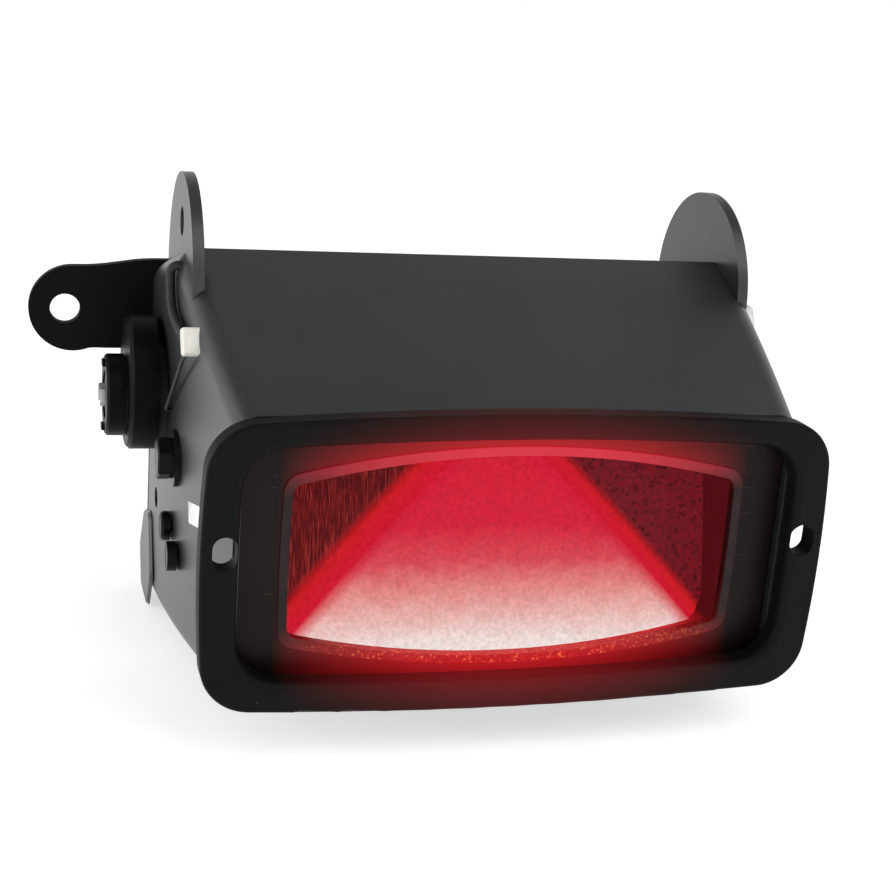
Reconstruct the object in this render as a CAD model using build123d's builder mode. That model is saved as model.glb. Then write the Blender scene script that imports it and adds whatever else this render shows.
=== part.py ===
"""High-mount brake lamp in a folded sheet-metal housing, modelled in millimetres.

The viewer looks along +Y at the lens. X is to the right, Z is up. The origin is the middle of the line
between the two mounting slots, on the front face of the flange. Heights in sketches are measured from
the middle of the flange, which lies slot_rise below the origin.
"""

import os
from math import atan, cos, degrees, pi, radians, sin, sqrt, tan

from build123d import *

os.makedirs("parts", exist_ok=True)

# Front flange
flange_half_width = 80.0
flange_half_height = 38.2
flange_side_bow = 1.85
flange_top_bow = 2.9
flange_corner = 12.7
flange_thickness = 6.0
opening_half_width = 70.8
opening_half_height = 31.0
opening_rise = 0.6
opening_corner = 11.0
slot_spacing = 148.4
slot_rise = 4.7
slot_length = 8.6
slot_width = 6.0

# Housing
sheet = 1.6
housing_depth = 106.0
front_half_width = 71.6
rear_half_width = 80.5
front_roof = 36.5
ridge_height = 63.7
ridge_depth = 70.0
rear_roof = 52.5
front_floor = 35.5
rear_floor = 47.0
roof_bend = 6.0
floor_bend = 5.0

# Lens, its surround and the reflector
surround_depth = 9.0
surround_thickness = 2.0
surround_gap = 0.4
window_half_width = 59.8
window_half_height = 28.6
window_drop = 0.9
window_bow = 7.1
window_corner = 5.0
seal_width = 2.2
seal_proud = 0.6
lens_step = 2.8
lens_flange_thickness = 2.2
frame_wall = 1.6
reflector_wall = 1.5
reflector_flange = 2.0
fan_front = 16.5
fan_lean = 14.5
fan_raise = 5.0
fan_edge_slope = 50.0
light_slot_half_width = 20.0

# Mounting ears, rear plate and foot plates
ear_radius = 28.2
ear_thickness = 3.0
ear_outer = 76.8
ear_depth = 80.9
ear_height = 53.6
ear_hole_radius = 3.9
ear_hole_depth = 79.2
ear_hole_height = 69.1
plate_thickness = 3.0
lug_radius = 12.3
lug_reach = 103.0
lug_height = 37.9
lug_hole_radius = 4.2
lug_hole_reach = 105.2
foot_thickness = 1.0
foot_reach = 14.0

# Bulb holder, entering from the left side
holder_depth = 91.6
holder_height = 18.2
boss_radius = 18.7
boss_rise = 3.7
boss_outer = 89.8
boss_inner = 82.0
bore_radius = 10.6
socket_radius = 9.9
neck_radius = 12.4
neck_clearance = 0.4
cap_radius = 11.4
cap_outer = 95.4
socket_mouth = 44.0
bulb_base_radius = 7.5
bulb_glass_radius = 9.0
running_clearance = 0.3

# Fasteners
bolt_radius = 3.0
bolt_across_flats = 10.0
washer_radius = 7.6
small_screw_radius = 1.5

housing_front = flange_thickness
housing_rear = housing_front + housing_depth
mid = -slot_rise
far = 130.0


def front(depth):
    """Sketch plane facing the viewer: sketch x is X, sketch y is height above the flange's middle."""
    return Plane(origin=(0, depth, mid), x_dir=(1, 0, 0), z_dir=(0, -1, 0))


def side(across):
    """Sketch plane across the lamp: sketch x is depth, sketch y is height, extrusion goes along +X."""
    return Plane(origin=(across, 0, mid), x_dir=(0, 1, 0), z_dir=(1, 0, 0))


def save(builder, name):
    """Label a finished piece and write it to its own file."""
    builder.part.label = name
    export_step(builder.part, f"parts/{name}.step")


def bowed_panel(half_width, half_height, side_bow, top_bow, corner):
    """Rounded rectangle whose sides bow outwards."""
    x_corner = half_width - side_bow
    y_corner = half_height - top_bow
    with BuildSketch() as panel:
        with BuildLine():
            ThreePointArc((-x_corner, y_corner), (0, half_height), (x_corner, y_corner))
            ThreePointArc((x_corner, y_corner), (half_width, 0), (x_corner, -y_corner))
            ThreePointArc((x_corner, -y_corner), (0, -half_height), (-x_corner, -y_corner))
            ThreePointArc((-x_corner, -y_corner), (-half_width, 0), (-x_corner, y_corner))
        make_face()
        fillet(panel.vertices(), corner)
    return panel.sketch


def window_panel(grow):
    """The lens window's outline, larger all round by grow."""
    corner = window_corner + max(grow, -3.0)
    return bowed_panel(window_half_width + grow, window_half_height + grow, 0.4, window_bow, corner)


def wall_at(depth):
    """Half the housing's outside width at a depth: the side walls bow outwards to the rear."""
    toward_front = (housing_rear - depth) / housing_depth
    return rear_half_width - (rear_half_width - front_half_width) * toward_front**2


front_slope = (ridge_height - front_roof) / (ridge_depth - housing_front)
rear_slope = (rear_roof - ridge_height) / (housing_rear - ridge_depth)
floor_slope = (front_floor - rear_floor) / housing_depth


def roof_front_at(depth, inset):
    return front_roof + front_slope * (depth - housing_front) - inset * sqrt(1 + front_slope**2)


def roof_rear_at(depth, inset):
    return rear_roof + rear_slope * (depth - housing_rear) - inset * sqrt(1 + rear_slope**2)


def floor_at(depth, inset):
    return -front_floor + floor_slope * (depth - housing_front) + inset * sqrt(1 + floor_slope**2)


def housing_block(inset, start, end):
    """The space inside the housing's skin, smaller by inset, from one depth to another."""
    ridge = (
        roof_rear_at(0, inset) - roof_front_at(0, inset)
    ) / (front_slope - rear_slope)
    with BuildPart() as block:
        with BuildSketch(side(-far)):
            with BuildLine():
                Polyline(
                    (start, floor_at(start, inset)),
                    (start, roof_front_at(start, inset)),
                    (ridge, roof_front_at(ridge, inset)),
                    (end, roof_rear_at(end, inset)),
                    (end, floor_at(end, inset)),
                    close=True,
                )
            make_face()
        extrude(amount=2 * far)
        middle = (start + end) / 2
        with BuildSketch(Plane.XY.offset(-far)):
            with BuildLine():
                ThreePointArc(
                    (wall_at(start) - inset, start),
                    (wall_at(middle) - inset, middle),
                    (wall_at(end) - inset, end),
                )
                Line((wall_at(end) - inset, end), (inset - wall_at(end), end))
                ThreePointArc(
                    (inset - wall_at(end), end),
                    (inset - wall_at(middle), middle),
                    (inset - wall_at(start), start),
                )
                Line((inset - wall_at(start), start), (wall_at(start) - inset, start))
            make_face()
        extrude(amount=2 * far, mode=Mode.INTERSECT)
        long_edges = block.edges().filter_by(
            lambda edge: abs(edge.center().X) > front_half_width - 12 and edge.bounding_box().size.Y > 10
        )
        fillet(long_edges.filter_by(lambda edge: edge.center().Z > 0), roof_bend - inset)
        long_edges = block.edges().filter_by(
            lambda edge: abs(edge.center().X) > front_half_width - 12 and edge.bounding_box().size.Y > 10
        )
        fillet(long_edges.filter_by(lambda edge: edge.center().Z < -30 + mid), floor_bend - inset)
    return block.part


outside = housing_block(0, housing_front, housing_rear)
inside = housing_block(sheet, housing_front - 2, housing_rear + 2)

# Places of the fasteners and small openings on the left wall: depth, height
hex_bolt_place = (63.0, 8.5)
side_screw_places = [(68.0, -12.3), (58.0, -17.3)]
wall_hole_place = (94.0, -13.0)
wall_hole_radius = 3.0
right_bolt_place = (67.0, 47.0)
lead_entry = (67.7, 59.2)
wire_entry = (72.0, 19.2)
lead_radius = 1.2
wire_radius = 0.5

# Folded housing skin, open at the front and at the rear.
with BuildPart() as housing_shell:
    add(outside)
    add(inside, mode=Mode.SUBTRACT)
    with BuildSketch(side(-far)):
        with Locations((holder_depth, holder_height)):
            Circle(neck_radius + neck_clearance)
        with Locations(hex_bolt_place):
            Circle(bolt_radius + 0.2)
        with Locations(*side_screw_places):
            Circle(small_screw_radius + 0.2)
        with Locations(wall_hole_place):
            Circle(wall_hole_radius)
        with Locations(wire_entry):
            Circle(wire_radius + 0.4)
        with Locations(lead_entry):
            Circle(lead_radius + 1.0)
    extrude(amount=far - 60, mode=Mode.SUBTRACT)
    with BuildSketch(side(far)):
        with Locations(right_bolt_place):
            Circle(bolt_radius + 0.2)
    extrude(amount=60 - far, mode=Mode.SUBTRACT)
save(housing_shell, "housing_shell")

# Cast front flange, welded to the front edge of the skin.
with BuildPart() as front_flange:
    with BuildSketch(front(0)):
        add(bowed_panel(flange_half_width, flange_half_height, flange_side_bow, flange_top_bow, flange_corner))
    extrude(amount=-flange_thickness)
    fillet(front_flange.faces().sort_by(Axis.Y)[0].outer_wire().edges(), 1.0)
    with BuildSketch(front(0)):
        with Locations((0, opening_rise)):
            add(bowed_panel(opening_half_width, opening_half_height, 0.4, 2.3, opening_corner))
    extrude(amount=-flange_thickness, mode=Mode.SUBTRACT)
    fillet(front_flange.faces().sort_by(Axis.Y)[0].inner_wires()[0].edges(), 2.2)
    with BuildSketch(front(0)):
        with Locations((-slot_spacing / 2, slot_rise), (slot_spacing / 2, slot_rise)):
            SlotOverall(slot_length, slot_width, rotation=90)
    extrude(amount=-flange_thickness, mode=Mode.SUBTRACT)
save(front_flange, "front_flange")

# Moulded surround: the flat bottom of the recess with the lens window, and a pocket behind it.
surround_front = surround_depth
surround_back = surround_depth + surround_thickness
pocket_back = surround_back + lens_flange_thickness
post_reach = window_half_width - 9.8
post_top = window_half_height + 1.3 - window_drop
post_bottom = -window_half_height - 1.3 - window_drop
post_places = [
    (-post_reach, post_top),
    (post_reach, post_top),
    (-post_reach, post_bottom),
    (post_reach, post_bottom),
]
post_radius = 2.8
frame_boss_places = [(-67.2, 20), (67.2, 20), (-67.2, -20), (67.2, -20)]
frame_boss_radius = 2.8
frame_tab_front = surround_back + 7.4
surround_half_width = wall_at(surround_front) - sheet - surround_gap
surround_top = roof_front_at(surround_front, sheet) - surround_gap
surround_bottom = floor_at(surround_back, sheet) + surround_gap
with BuildPart() as lens_surround:
    with BuildSketch(front(surround_front)) as surround_outline:
        with Locations((0, (surround_top + surround_bottom) / 2)):
            RectangleRounded(2 * surround_half_width, surround_top - surround_bottom, roof_bend - sheet)
    extrude(amount=-surround_thickness)
    with BuildSketch(front(surround_back)):
        with Locations((0, -window_drop)):
            add(window_panel(lens_step + frame_wall))
        with Locations(*post_places):
            Circle(post_radius)
    extrude(amount=-lens_flange_thickness)
    with BuildSketch(front(surround_back)):
        with Locations(*frame_boss_places):
            Circle(frame_boss_radius)
    extrude(amount=surround_back - frame_tab_front)
    with BuildSketch(front(surround_back)):
        with Locations((0, -window_drop)):
            add(window_panel(lens_step + 0.2))
    extrude(amount=-lens_flange_thickness, mode=Mode.SUBTRACT)
    with BuildSketch(front(surround_front)):
        with Locations((0, -window_drop)):
            add(window_panel(0))
    extrude(amount=-surround_thickness, mode=Mode.SUBTRACT)
    with BuildSketch(front(pocket_back)):
        with Locations(*post_places):
            Circle(1.1)
    extrude(amount=3.0, mode=Mode.SUBTRACT)
    with BuildSketch(front(frame_tab_front)):
        with Locations(*frame_boss_places):
            Circle(small_screw_radius)
    extrude(amount=6.0, mode=Mode.SUBTRACT)
save(lens_surround, "lens_surround")

# Soft translucent seal around the lens, standing a little proud of the surround.
with BuildPart() as lens_seal:
    with BuildSketch(front(surround_front - seal_proud)):
        with Locations((0, -window_drop)):
            add(window_panel(0))
            add(window_panel(-seal_width), mode=Mode.SUBTRACT)
    extrude(amount=-(surround_thickness + seal_proud))
save(lens_seal, "lens_seal")

# Clear-red lens: a raised pane in the window and a flange held behind the surround.
with BuildPart() as lens:
    with BuildSketch(front(surround_front)):
        with Locations((0, -window_drop)):
            add(window_panel(-seal_width))
    extrude(amount=-surround_thickness)
    chamfer(lens.faces().sort_by(Axis.Y)[0].outer_wire().edges(), 0.9)
    with BuildSketch(front(surround_back)):
        with Locations((0, -window_drop)):
            add(window_panel(lens_step))
    extrude(amount=-lens_flange_thickness)
save(lens, "lens")


def leaning_block(first, lean, depth_of_block):
    """Everything in front of a plane that leans back as it rises, less what is before depth_of_block."""
    low = -40.0
    high = 40.0
    rise = lean * (high - low) / (2 * window_half_height)
    start = first - lean * (-window_half_height - low) / (2 * window_half_height)
    with BuildPart() as block:
        with BuildSketch(side(-far)):
            with BuildLine():
                Polyline(
                    (depth_of_block, low),
                    (start, low),
                    (start + rise, high),
                    (depth_of_block, high),
                    close=True,
                )
            make_face()
        extrude(amount=2 * far)
    return block.part


# Reflector: a deep frame closed by a leaning back, with a raised fan between two sloping sides.
reflector_front = pocket_back
slab_front = fan_front + fan_raise
lean_angle = degrees(atan(fan_lean / (2 * window_half_height)))
slab_plane = Plane(
    origin=(0, slab_front + fan_lean / 2, mid),
    x_dir=(1, 0, 0),
    z_dir=(0, -cos(radians(lean_angle)), sin(radians(lean_angle))),
)
with BuildPart() as reflector_space:
    with BuildSketch(front(reflector_front - 1)):
        with Locations((0, -window_drop)):
            add(window_panel(0))
    extrude(amount=-40)
    add(leaning_block(slab_front, fan_lean, 0), mode=Mode.INTERSECT)
with BuildPart() as fan:
    with BuildSketch(slab_plane):
        with BuildLine():
            ThreePointArc((70, -36), (42, -4), (5, 32.5))
            Line((5, 32.5), (-5, 32.5))
            ThreePointArc((-5, 32.5), (-42, -4), (-70, -36))
            Line((-70, -36), (-70, -50))
            Line((-70, -50), (70, -50))
            Line((70, -50), (70, -36))
        make_face()
    extrude(amount=fan_raise, taper=fan_edge_slope)
    add(reflector_space.part, mode=Mode.INTERSECT)
with BuildPart() as horn_reflector:
    with BuildSketch(front(reflector_front)):
        with Locations((0, -window_drop)):
            add(window_panel(reflector_wall))
    extrude(amount=-40)
    add(leaning_block(slab_front + reflector_wall, fan_lean, 0), mode=Mode.INTERSECT)
    with BuildSketch(front(reflector_front)):
        with Locations((0, -window_drop)):
            add(window_panel(lens_step + frame_wall))
        with Locations(*post_places):
            Circle(post_radius)
    extrude(amount=-reflector_flange)
    add(reflector_space.part, mode=Mode.SUBTRACT)
    add(fan.part)
    with BuildSketch(front(reflector_front)):
        with Locations(*post_places):
            Circle(1.3)
        with Locations((0, 25.0)):
            Rectangle(2 * light_slot_half_width, 4.2)
    extrude(amount=-40, mode=Mode.SUBTRACT)
save(horn_reflector, "horn_reflector")

with BuildPart() as reflector_screws:
    with BuildSketch(front(reflector_front + reflector_flange)):
        with Locations(*post_places):
            Circle(2.3)
    extrude(amount=-1.6)
    with BuildSketch(front(reflector_front + reflector_flange)):
        with Locations(*post_places):
            Circle(1.1)
    extrude(amount=reflector_flange + 2.6)
save(reflector_screws, "reflector_screws")

# Tabs welded inside the skin, which the surround's bosses are screwed to.
tab_thickness = 1.5
with BuildPart() as frame_tabs:
    with BuildSketch(front(frame_tab_front)):
        with Locations(*frame_boss_places):
            Rectangle(24, 9)
    extrude(amount=-tab_thickness)
    with BuildSketch(front(frame_tab_front)):
        Rectangle(2 * (frame_boss_places[1][0] - 4), 80)
    extrude(amount=-tab_thickness, mode=Mode.SUBTRACT)
    with BuildSketch(front(frame_tab_front)):
        with Locations((-80, 20), (80, 20), (-80, -20), (80, -20)):
            Rectangle(20, 9)
        Rectangle(2 * (wall_at(frame_tab_front) - sheet - tab_thickness), 80, mode=Mode.SUBTRACT)
    extrude(amount=-10)
    add(inside, mode=Mode.INTERSECT)
    with BuildSketch(front(frame_tab_front)):
        with Locations(*frame_boss_places):
            Circle(small_screw_radius + 0.2)
    extrude(amount=-tab_thickness, mode=Mode.SUBTRACT)
save(frame_tabs, "frame_tabs")

with BuildPart() as frame_screws:
    with BuildSketch(front(frame_tab_front + tab_thickness)):
        with Locations(*frame_boss_places):
            Circle(2.7)
    extrude(amount=-2.0)
    with BuildSketch(front(frame_tab_front + tab_thickness)):
        with Locations(*frame_boss_places):
            Circle(small_screw_radius)
    extrude(amount=tab_thickness + 5.5)
save(frame_screws, "frame_screws")

# Rear plate with the mounting lug on its left.
rear_screw_places = [(-66, 38), (66, 38), (-66, -33), (66, -33)]
rear_screw_radius = 2.0
bracket_screw_places = [(-8, holder_height - 10), (8, holder_height + 10)]
bracket_screw_radius = 1.5
with BuildPart() as rear_plate:
    with BuildSketch(front(housing_rear)) as rear_outline:
        with BuildLine():
            Polyline(
                (-rear_half_width, -rear_floor),
                (-rear_half_width, rear_roof),
                (rear_half_width, rear_roof),
                (rear_half_width, -rear_floor),
                close=True,
            )
        make_face()
        fillet(rear_outline.vertices().group_by(Axis.Y)[-1], roof_bend)
        fillet(rear_outline.vertices().group_by(Axis.Y)[0], floor_bend)
        with Locations((-lug_reach, lug_height)):
            Circle(lug_radius)
        with BuildLine():
            Spline(
                (-lug_reach, lug_height + lug_radius),
                (-lug_reach + 7, lug_height + lug_radius + 0.3),
                (-lug_reach + 17, rear_roof - 0.5),
                (-rear_half_width + roof_bend, rear_roof),
                tangents=[(1, 0), (1, 0)],
            )
            Line((-rear_half_width + roof_bend, rear_roof), (-rear_half_width + roof_bend, lug_height - 11.4))
            Line((-rear_half_width + roof_bend, lug_height - 11.4), (-lug_reach + 9, lug_height - 11.4))
            Spline(
                (-lug_reach + 9, lug_height - 11.4),
                (-lug_reach + 5, lug_height - 11.4),
                (-lug_reach, lug_height - lug_radius),
                tangents=[(-1, 0), (-1, 0)],
            )
            Line((-lug_reach, lug_height - lug_radius), (-lug_reach, lug_height + lug_radius))
        make_face()
    extrude(amount=-plate_thickness)
    with BuildSketch(front(housing_rear)):
        with Locations((-lug_hole_reach, lug_height)):
            Circle(lug_hole_radius)
        with Locations(*rear_screw_places):
            Circle(rear_screw_radius + 0.2)
        with Locations(*bracket_screw_places):
            Circle(bracket_screw_radius + 0.2)
    extrude(amount=-plate_thickness, mode=Mode.SUBTRACT)
save(rear_plate, "rear_plate")

with BuildPart() as rear_tabs:
    with BuildSketch(front(housing_rear)):
        with Locations(*rear_screw_places):
            Rectangle(40, 12)
        Rectangle(2 * (rear_screw_places[1][0] - 6), 100, mode=Mode.SUBTRACT)
    extrude(amount=2.0)
    with BuildSketch(front(housing_rear)):
        with Locations(*rear_screw_places):
            Rectangle(40, 12)
        Rectangle(2 * (rear_half_width - sheet - 1.6), 100, mode=Mode.SUBTRACT)
    extrude(amount=12.0)
    add(inside, mode=Mode.INTERSECT)
    with BuildSketch(front(housing_rear)):
        with Locations(*rear_screw_places):
            Circle(rear_screw_radius)
    extrude(amount=2.0, mode=Mode.SUBTRACT)
save(rear_tabs, "rear_tabs")

with BuildPart() as rear_screws:
    with BuildSketch(front(housing_rear + plate_thickness)):
        with Locations(*rear_screw_places):
            Circle(3.8)
    extrude(amount=-2.2)
    fillet(rear_screws.faces().group_by(Axis.Y)[-1].edges(), 1.2)
    with BuildSketch(front(housing_rear + plate_thickness + 2.2)):
        with Locations(*rear_screw_places):
            Rectangle(4.2, 0.9)
            Rectangle(0.9, 4.2)
    extrude(amount=1.2, mode=Mode.SUBTRACT)
    with BuildSketch(front(housing_rear + plate_thickness)):
        with Locations(*rear_screw_places):
            Circle(rear_screw_radius)
    extrude(amount=plate_thickness + 4.0)
save(rear_screws, "rear_screws")


def ear(inner, outer, with_hole):
    """Rounded mounting plate that stands on the roof, cut to the roof's slopes."""
    with BuildPart() as plate:
        with BuildSketch(side(inner)):
            with Locations((ear_depth, ear_height)):
                Circle(ear_radius)
            if with_hole:
                with Locations((ear_hole_depth, ear_hole_height)):
                    Circle(ear_hole_radius, mode=Mode.SUBTRACT)
        extrude(amount=outer - inner)
        add(outside, mode=Mode.SUBTRACT)
    return plate


left_ear = ear(-ear_outer, -ear_outer + ear_thickness, True)
save(left_ear, "left_ear")
right_ear = ear(ear_outer - ear_thickness, ear_outer, False)
save(right_ear, "right_ear")


def foot_plate(inner, outer):
    """Thin plate at the lower rear corner of a side wall, standing out behind it."""
    back = housing_rear + foot_reach
    low = -rear_floor - 3.0
    with BuildPart() as plate:
        with BuildSketch(side(inner)) as foot_outline:
            with BuildLine():
                Polyline(
                    (back - 24, low),
                    (back - 32, low + 12),
                    (back - 24, low + 30),
                    (back - 10, low + 26),
                    (back, low + 12),
                    (back - 6, low),
                    close=True,
                )
            make_face()
            fillet(foot_outline.vertices(), 4.0)
        extrude(amount=outer - inner)
        outer_face = plate.faces().sort_by(Axis.X)[-1 if outer > 0 and inner > 0 else 0]
        chamfer(outer_face.edges(), foot_thickness - 0.2)
    return plate


left_foot = foot_plate(-rear_half_width - foot_thickness, -rear_half_width)
save(left_foot, "left_foot")
right_foot = foot_plate(rear_half_width, rear_half_width + foot_thickness)
save(right_foot, "right_foot")

# Round boss of the bulb holder, with a threaded neck through the left wall.
with BuildPart() as holder_boss:
    with BuildSketch(side(-boss_outer)):
        with Locations((holder_depth, holder_height + boss_rise)):
            Circle(boss_radius)
    extrude(amount=boss_outer - boss_inner)
    chamfer(holder_boss.faces().sort_by(Axis.X)[0].edges(), 1.0)
    with BuildSketch(side(-boss_inner)):
        with Locations((holder_depth, holder_height)):
            Circle(neck_radius)
    extrude(amount=10)
    with BuildSketch(side(-boss_outer)):
        with Locations((holder_depth, holder_height)):
            Circle(bore_radius)
    extrude(amount=30, mode=Mode.SUBTRACT)
save(holder_boss, "holder_boss")

with BuildPart() as boss_seal:
    with BuildSketch(side(-boss_inner)):
        with Locations((holder_depth, holder_height)):
            Circle(neck_radius + 2.4)
            Circle(neck_radius, mode=Mode.SUBTRACT)
    extrude(amount=5)
    add(outside, mode=Mode.SUBTRACT)
save(boss_seal, "boss_seal")

nut_reach = neck_radius + 4.6
nut_face = wall_at(holder_depth - nut_reach) - sheet - running_clearance
with BuildPart() as boss_nut:
    with BuildSketch(side(-nut_face)):
        with Locations((holder_depth, holder_height)):
            Circle(nut_reach)
            with PolarLocations(nut_reach, 6):
                Rectangle(3, 5, mode=Mode.SUBTRACT)
            Circle(neck_radius, mode=Mode.SUBTRACT)
    extrude(amount=4)
save(boss_nut, "boss_nut")

# Insulating socket body, which slides in the boss's bore.
stub_radius = 6.5
socket_outer = boss_outer + 0.6
socket_floor = 64.0
sleeve_outer = bulb_base_radius + running_clearance + 0.4
pin_reach = bulb_base_radius + 1.0
pin_place = socket_mouth + 6.0
blade_half_gap = 3.2
blade_thickness = 0.8
blade_width = 4.8
blade_outer = cap_outer + 1.4
seal_groove = 78.0
groove_half_width = 1.2
holder_axis = Axis((0, holder_depth, mid + holder_height), (1, 0, 0))
holder_plane = Plane(origin=(0, holder_depth, mid + holder_height), x_dir=(1, 0, 0), z_dir=(0, -1, 0))


def holder(across):
    """Sketch plane across the bulb holder, centred on its axis."""
    return Plane(origin=(across, holder_depth, mid + holder_height), x_dir=(0, 1, 0), z_dir=(1, 0, 0))


def bayonet_space(inner_radius):
    """Two J-shaped grooves that the bulb's pins travel in."""
    with BuildPart() as grooves:
        for start in (0, 180):
            with BuildSketch(holder_plane.rotated((start - 10, 0, 0))):
                with Locations((-pin_place, (inner_radius + pin_reach + 0.3) / 2)):
                    Rectangle(2.8, pin_reach + 0.3 - inner_radius)
            revolve(axis=holder_axis, revolution_arc=42)
            with BuildSketch(holder(-pin_place - 1.4).rotated((0, 0, start + 22))):
                with Locations((0, (inner_radius + pin_reach + 0.3) / 2)):
                    Rectangle(2.8, pin_reach + 0.3 - inner_radius)
            extrude(amount=pin_place - socket_mouth + 2.4)
    return grooves.part


with BuildPart() as socket_body:
    with BuildSketch(holder(-cap_outer + 0.5)):
        Circle(stub_radius)
    extrude(amount=cap_outer - 0.5 - socket_outer)
    with BuildSketch(holder(-socket_outer)):
        Circle(socket_radius)
    extrude(amount=socket_outer - socket_mouth)
    with BuildSketch(holder(-socket_floor)):
        Circle(sleeve_outer)
    extrude(amount=socket_floor - socket_mouth, mode=Mode.SUBTRACT)
    with BuildSketch(holder(-seal_groove - groove_half_width)):
        Circle(socket_radius)
        Circle(socket_radius - 1.2, mode=Mode.SUBTRACT)
    extrude(amount=2 * groove_half_width, mode=Mode.SUBTRACT)
    with BuildSketch(holder(-blade_outer)):
        with Locations((-blade_half_gap, 0), (blade_half_gap, 0)):
            Rectangle(blade_thickness, blade_width)
    extrude(amount=blade_outer - socket_floor - 4, mode=Mode.SUBTRACT)
    with BuildSketch(holder(-socket_floor - 8)):
        Circle(1.3)
    extrude(amount=10, mode=Mode.SUBTRACT)
    add(bayonet_space(sleeve_outer - 0.5), mode=Mode.SUBTRACT)
save(socket_body, "socket_body")

with BuildPart() as socket_sleeve:
    with BuildSketch(holder(-socket_floor + 4.0)):
        Circle(sleeve_outer)
        Circle(sleeve_outer - 0.4, mode=Mode.SUBTRACT)
    extrude(amount=socket_floor - 4.0 - socket_mouth)
    add(bayonet_space(sleeve_outer - 2.0), mode=Mode.SUBTRACT)
save(socket_sleeve, "socket_sleeve")

with BuildPart() as terminal_blades:
    with BuildSketch(holder(-blade_outer)):
        with Locations((-blade_half_gap, 0), (blade_half_gap, 0)):
            Rectangle(blade_thickness, blade_width)
    extrude(amount=blade_outer - socket_floor - 4)
save(terminal_blades, "terminal_blades")

with BuildPart() as socket_seal:
    with BuildSketch(holder_plane):
        with Locations((-seal_groove, socket_radius - 0.2)):
            Circle(1.0)
        with Locations((-seal_groove, socket_radius + 1.3)):
            Rectangle(4, 2.0, mode=Mode.SUBTRACT)
    revolve(axis=holder_axis)
save(socket_seal, "socket_seal")

# Cap that turns on the end of the socket body.
with BuildPart() as locking_cap:
    with BuildSketch(holder(-cap_outer)):
        Circle(cap_radius)
    extrude(amount=cap_outer - boss_outer - 0.4)
    chamfer(locking_cap.faces().sort_by(Axis.X)[0].edges(), 0.7)
    with BuildSketch(holder(-cap_outer - 0.01)):
        Circle(stub_radius + running_clearance)
    extrude(amount=20, mode=Mode.SUBTRACT)
    with BuildSketch(holder(-boss_outer - 1.0)):
        Circle(socket_radius + running_clearance)
    extrude(amount=5, mode=Mode.SUBTRACT)
    with BuildSketch(holder(-cap_outer)):
        with PolarLocations(cap_radius - 2.3, 2, start_angle=90):
            Rectangle(1.6, 3.4)
    extrude(amount=-0.8)
save(locking_cap, "locking_cap")

# Sprung contact in the floor of the socket.
plunger_face = 60.4
plunger_travel = 1.5
with BuildPart() as contact_plunger:
    with BuildSketch(holder(-plunger_face)):
        Circle(3.4)
    extrude(amount=1.2)
    with BuildSketch(holder(-socket_floor - 4)):
        Circle(1.0)
    extrude(amount=socket_floor + 4 - plunger_face)
save(contact_plunger, "contact_plunger")

spring_length = socket_floor - plunger_face
with BuildPart() as contact_spring:
    with BuildLine():
        Helix(
            pitch=(spring_length - 0.8) / 3,
            height=spring_length - 0.8,
            radius=2.3,
            center=(-socket_floor + 0.4, holder_depth, mid + holder_height),
            direction=(1, 0, 0),
        )
    spring_start = contact_spring.pending_edges[0]
    with BuildSketch(Plane(origin=spring_start @ 0, z_dir=spring_start % 0)):
        Circle(0.3)
    sweep()
save(contact_spring, "contact_spring")

# Bulb: metal base with two pins, glass envelope, filament on two posts.
base_outer = 57.0
contact_tip = plunger_face - 1.2 - running_clearance
glass_end = 17.0
with BuildPart() as bulb_base:
    with BuildSketch(holder(-base_outer)):
        Circle(bulb_base_radius)
    extrude(amount=base_outer - socket_mouth)
    for start in (0, 180):
        with BuildSketch(Plane(origin=(-pin_place, holder_depth, mid + holder_height), z_dir=(0, 0, 1))):
            Circle(1.0)
        extrude(amount=pin_reach if start == 0 else -pin_reach)
    with BuildSketch(holder(-base_outer + 1.2)):
        Circle(bulb_base_radius - 0.4)
    extrude(amount=base_outer, mode=Mode.SUBTRACT)
save(bulb_base, "bulb_base")

with BuildPart() as base_contact:
    with BuildSketch(holder(-contact_tip)):
        Circle(2.0)
    extrude(amount=contact_tip - base_outer)
    fillet(base_contact.faces().sort_by(Axis.X)[0].edges(), 0.8)
save(base_contact, "base_contact")

neck_glass = bulb_base_radius - 0.4
with BuildPart() as bulb_glass:
    with BuildSketch(holder_plane) as glass_section:
        with BuildLine():
            Line((-socket_mouth - 6, neck_glass - 0.7), (-socket_mouth - 6, neck_glass))
            Line((-socket_mouth - 6, neck_glass), (-socket_mouth, neck_glass))
            Spline(
                (-socket_mouth, neck_glass),
                (-socket_mouth + 7, bulb_glass_radius - 0.4),
                (-socket_mouth + 14, bulb_glass_radius),
                (-glass_end - 2.6, 5.4),
                (-glass_end, 0),
                tangents=[(1, 0), (0, -1)],
            )
            Line((-glass_end, 0), (-glass_end - 0.7, 0))
            Spline(
                (-glass_end - 0.7, 0),
                (-glass_end - 3.1, 4.8),
                (-socket_mouth + 14, bulb_glass_radius - 0.7),
                (-socket_mouth + 7, bulb_glass_radius - 1.1),
                (-socket_mouth, neck_glass - 0.7),
                tangents=[(0, 1), (-1, 0)],
            )
            Line((-socket_mouth, neck_glass - 0.7), (-socket_mouth - 6, neck_glass - 0.7))
        make_face()
    revolve(axis=holder_axis)
save(bulb_glass, "bulb_glass")

filament_place = 31.0
post_gap = 3.0
with BuildPart() as filament_posts:
    with BuildSketch(holder(-base_outer + 1.2)):
        Circle(3.6)
    extrude(amount=5.0)
    with BuildSketch(holder(-base_outer + 6.2)):
        with Locations((0, -post_gap), (0, post_gap)):
            Circle(0.35)
    extrude(amount=base_outer - 6.2 - filament_place)
save(filament_posts, "filament_posts")

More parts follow.
